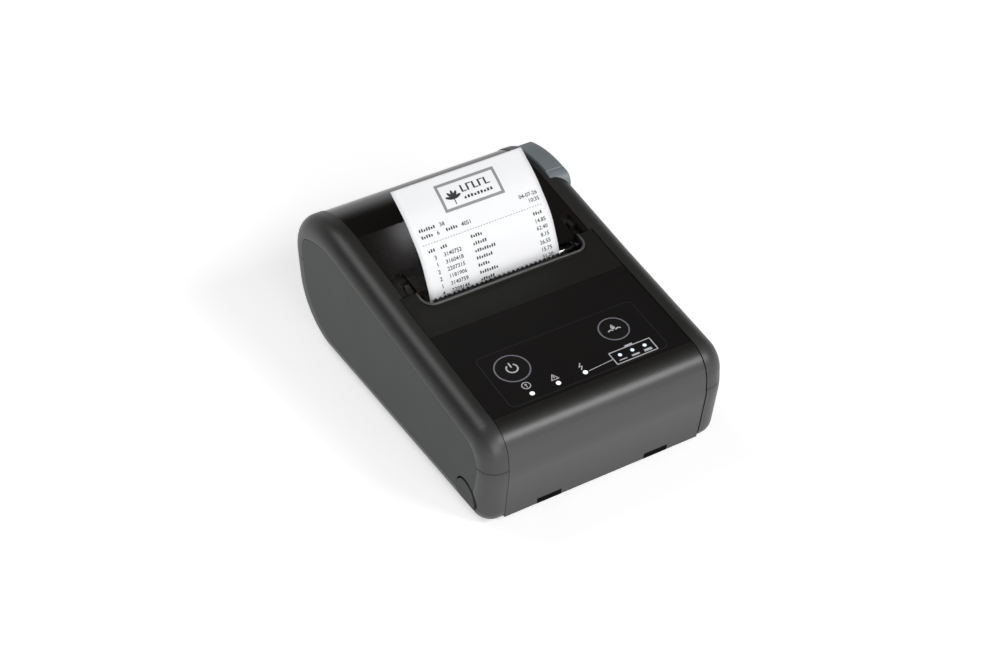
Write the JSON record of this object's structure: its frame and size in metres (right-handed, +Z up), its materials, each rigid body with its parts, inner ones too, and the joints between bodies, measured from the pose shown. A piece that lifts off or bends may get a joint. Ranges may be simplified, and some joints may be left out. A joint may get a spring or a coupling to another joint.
{
  "type": "portable receipt printer",
  "caption": "Handheld receipt printer with a key panel, paper exit, smoked hinged roll cover, open lever on the right rim, battery bay below and rubber inlet cap",
  "frame": {"origin": "middle of the base, on the surface it stands on", "axes": "+X to the printer's right, +Y towards its rear and cover hinge, +Z up; the key panel faces up and to the front (-Y)"},
  "size_m": [0.104, 0.159, 0.0859],
  "materials": {
    "rim": "satin grey moulded plastic",
    "centre": "dark grey satin plastic",
    "front": "satin grey plastic",
    "side": "matt dark grey plastic",
    "sheet": "thin black sheet, semi-gloss",
    "button": "black satin key",
    "lamp_window": "clear moulded light guide",
    "smoked": "smoked glossy plastic",
    "lever": "grey-blue satin plastic",
    "soft": "soft dark rubber",
    "steel": "bright steel",
    "zinc": "zinc plated steel",
    "alloy": "extruded aluminium",
    "ceramic": "white ceramic with a glazed line",
    "platen": "ground black rubber",
    "gear": "black moulded acetal",
    "lamp_body": "white moulded lamp body",
    "inner": "black moulded plastic",
    "paper": "smooth white thermal paper",
    "card": "grey-brown card",
    "board": "green circuit board",
    "cable": "white flat cable",
    "battery": "black textured plastic",
    "brass": "knurled brass",
    "contact": "gold plated pins in black plastic"
  },
  "bodies": {
    "printer": {"upper_case": "rim", "lower_case": "rim", "front_cover": "front", "side_panel_left": "side", "side_panel_right": "side", "panel_sheet": "sheet", "light_guides": "lamp_window", "indicator_lamps": "lamp_body", "key_switches": "inner", "panel_board": "board", "hinge_pin": "steel", "cover_springs": "steel", "feed_motor": "zinc", "mechanism_frame": "zinc", "print_head": "ceramic", "head_carrier": "alloy", "head_springs": "steel", "head_cable": "cable", "lever_pin": "steel", "roll_tub": "inner", "paper_web": "paper", "tear_blade": "steel", "main_board": "board", "usb_socket": "steel", "radio_module": "zinc", "buzzer": "inner", "battery_contacts": "contact", "dc_jack": "inner", "paper_sensor": "inner", "cover_switch": "inner", "case_screws": "steel", "mechanism_screws": "steel", "board_screws": "steel", "clip_inserts": "brass"},
    "roll_cover": {"roll_cover": "smoked", "cover_frame": "inner", "platen_bushes": "gear", "receipt": "paper"},
    "platen": {"platen_shaft": "steel", "platen_roller": "platen", "platen_gear": "gear"},
    "open_lever": {"open_lever": "lever"},
    "lever_link": {"lever_link": "zinc"},
    "latch": {"latch_shaft": "steel", "latch_hooks": "zinc", "latch_crank": "zinc"},
    "power_button": {"power_button": "button"},
    "feed_button": {"feed_button": "button"},
    "motor_pinion": {"motor_pinion": "brass"},
    "reduction_gear": {"reduction_gear": "gear"},
    "paper_roll": {"paper_roll": "paper", "roll_core": "card"},
    "battery_pack": {"battery_pack": "battery"},
    "battery_catch": {"battery_catch": "inner"},
    "dc_inlet_cap": {"dc_inlet_cap": "soft"},
    "port_cap": {"port_cap": "soft"}
  },
  "joints": [
    {"name": "roll_cover_hinge", "type": "hinge", "parent": "printer", "child": "roll_cover", "pos_m": [0, 0.0715, 0.0465], "axis": [1, 0, 0], "range_deg": [-95, 0]},
    {"name": "platen_spin", "type": "hinge", "parent": "roll_cover", "child": "platen", "pos_m": [0, 0.005, 0.047], "axis": [1, 0, 0], "continuous": true},
    {"name": "open_lever_tip", "type": "hinge", "parent": "printer", "child": "open_lever", "pos_m": [0.0435, 0.0365, 0.0574], "axis": [1, 0, 0], "range_deg": [0, 20]},
    {"name": "lever_link_pull", "type": "slide", "parent": "printer", "child": "lever_link", "axis": [0, 1, 0], "range_m": [0, 0.00279], "stiffness_N_per_m": 250, "springref_m": -0.002},
    {"name": "latch_turn", "type": "hinge", "parent": "printer", "child": "latch", "pos_m": [0, -0.0045, 0.027], "axis": [1, 0, 0], "range_deg": [0, 16]},
    {"name": "power_button_press", "type": "slide", "parent": "printer", "child": "power_button", "axis": [0, 0.1444, -0.9895], "range_m": [0, 0.0005], "stiffness_N_per_m": 600, "springref_m": -0.0005},
    {"name": "feed_button_press", "type": "slide", "parent": "printer", "child": "feed_button", "axis": [0, 0.1444, -0.9895], "range_m": [0, 0.0005], "stiffness_N_per_m": 600, "springref_m": -0.0005},
    {"name": "motor_pinion_spin", "type": "hinge", "parent": "printer", "child": "motor_pinion", "pos_m": [0.0315, -0.014, 0.035], "axis": [1, 0, 0], "continuous": true},
    {"name": "reduction_gear_spin", "type": "hinge", "parent": "printer", "child": "reduction_gear", "pos_m": [0.0315, -0.00227, 0.03796], "axis": [1, 0, 0], "continuous": true},
    {"name": "paper_roll_spin", "type": "hinge", "parent": "printer", "child": "paper_roll", "pos_m": [-0.0021, 0.038, 0.0315], "axis": [1, 0, 0], "continuous": true},
    {"name": "battery_pack_drop", "type": "slide", "parent": "printer", "child": "battery_pack", "axis": [0, 0, -1], "range_m": [0, 0.022]},
    {"name": "battery_catch_slide", "type": "slide", "parent": "printer", "child": "battery_catch", "axis": [0, -1, 0], "range_m": [0, 0.003]},
    {"name": "dc_inlet_cap_pull", "type": "slide", "parent": "printer", "child": "dc_inlet_cap", "axis": [-1, 0, 0], "range_m": [0, 0.006]},
    {"name": "port_cap_pull", "type": "slide", "parent": "printer", "child": "port_cap", "axis": [1, 0, 0], "range_m": [0, 0.006]}
  ],
  "couplings": [
    {"joint": "open_lever_tip", "follows": "lever_link_pull", "rad_per_m": 125},
    {"joint": "latch_turn", "follows": "lever_link_pull", "rad_per_m": 100},
    {"joint": "reduction_gear_spin", "follows": "platen_spin", "ratio": -1.3},
    {"joint": "motor_pinion_spin", "follows": "platen_spin", "ratio": 3.9},
    {"joint": "paper_roll_spin", "follows": "platen_spin", "ratio": -0.26818}
  ]
}
